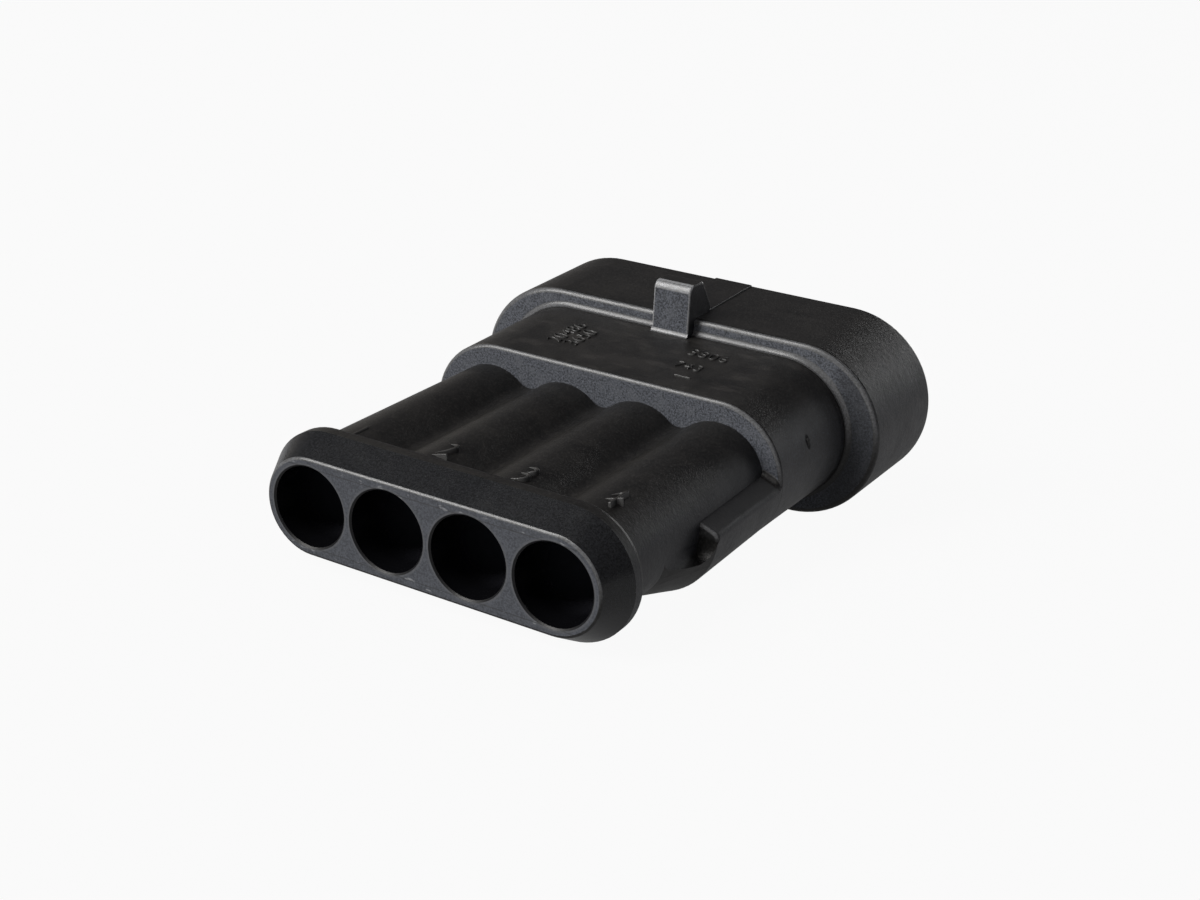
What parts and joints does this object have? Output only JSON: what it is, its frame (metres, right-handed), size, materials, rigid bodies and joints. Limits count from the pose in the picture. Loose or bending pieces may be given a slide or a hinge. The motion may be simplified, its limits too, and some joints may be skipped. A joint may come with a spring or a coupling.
{
  "type": "sealed connector housing",
  "caption": "Sealed wire-to-wire connector housing: a row of barrels with wire seal bores, an oval socket with a wide shroud and a latch catch, and a secondary lock plate that slides in the socket.",
  "frame": {"origin": "bottom centre of the box; the bottom is the underside of the shroud's mouth", "axes": "+X along the row of ways, +Y out of the mating end along the contacts, +Z towards the latch catch"},
  "size_m": [0.0334, 0.0402, 0.0158],
  "materials": {
    "housing": "spark-eroded black glass-filled nylon",
    "lock": "satin yellow polyester"
  },
  "bodies": {
    "housing": {"housing": "housing"},
    "lock": {"secondary_lock": "lock"}
  },
  "joints": [
    {"name": "lock_slide", "type": "slide", "parent": "housing", "child": "lock", "axis": [0, -1, 0], "range_m": [0, 0.0015]}
  ]
}
